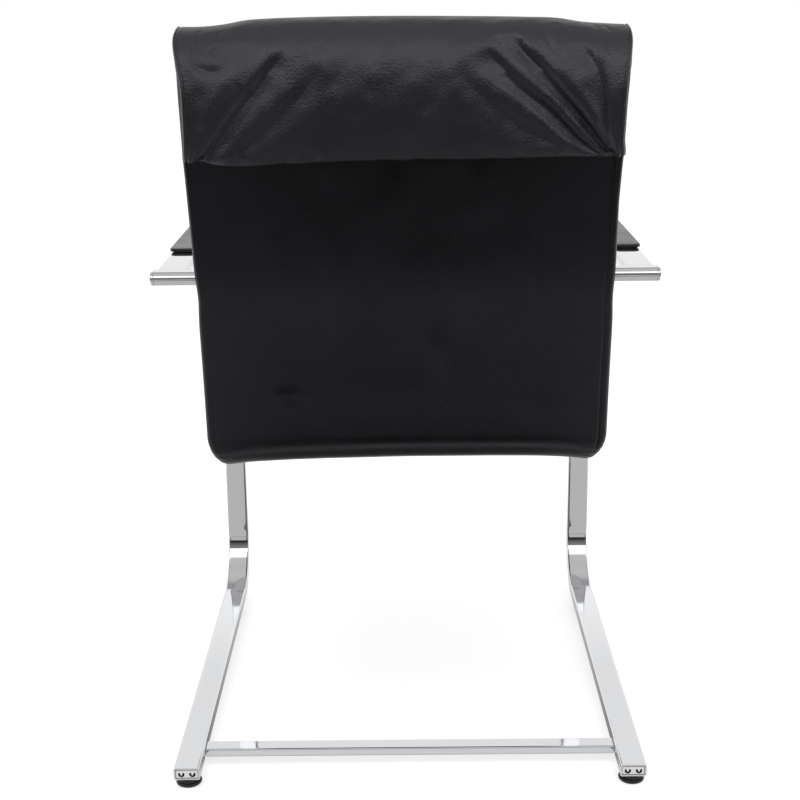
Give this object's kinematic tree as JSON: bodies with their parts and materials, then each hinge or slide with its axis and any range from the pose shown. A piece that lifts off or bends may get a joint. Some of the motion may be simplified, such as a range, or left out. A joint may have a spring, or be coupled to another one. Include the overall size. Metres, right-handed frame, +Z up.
{
  "type": "cantilever lounge chair",
  "caption": "Cantilever lounge chair with a bent chromed tube frame, slim arm pads and a leather seat and back with a head flap folded over the top.",
  "frame": {"origin": "on the floor, in the middle of the chair's outline seen from above", "axes": "+Z up, the sitter faces -Y, +X to the sitter's left"},
  "size_m": [0.553, 0.635, 0.8552],
  "materials": {
    "chrome": "polished",
    "leather": "black grained leather with a soft sheen",
    "black_plastic": "satin",
    "grey_plastic": "satin",
    "plywood": "sanded",
    "steel": "zinc plated"
  },
  "bodies": {
    "root": {"side_frame_left": "chrome", "side_frame_right": "chrome", "floor_cross_tube": "chrome", "seat_cross_tube": "chrome", "back_cross_tube": "chrome", "back_tube_cap_left": "chrome", "back_tube_cap_right": "chrome", "runner_plug_left": "grey_plastic", "runner_plug_right": "grey_plastic", "glide_rear_left": "black_plastic", "glide_rear_right": "black_plastic", "glide_front_left": "black_plastic", "glide_front_right": "black_plastic", "arm_pad_core_left": "black_plastic", "arm_pad_core_right": "black_plastic", "arm_pad_left": "leather", "arm_pad_right": "leather", "arm_screw_rear_left": "steel", "arm_screw_rear_right": "steel", "arm_screw_front_left": "steel", "arm_screw_front_right": "steel", "seat_shell": "plywood", "rear_cover": "leather", "seat_cushion": "leather", "back_cushion": "leather", "head_flap": "leather", "carrier_plate_left": "steel", "carrier_plate_right": "steel", "plate_screw_upper_left": "steel", "plate_screw_lower_left": "steel", "plate_screw_upper_right": "steel", "plate_screw_lower_right": "steel", "seat_bolt_left": "steel", "seat_bolt_right": "steel"}
  },
  "joints": []
}
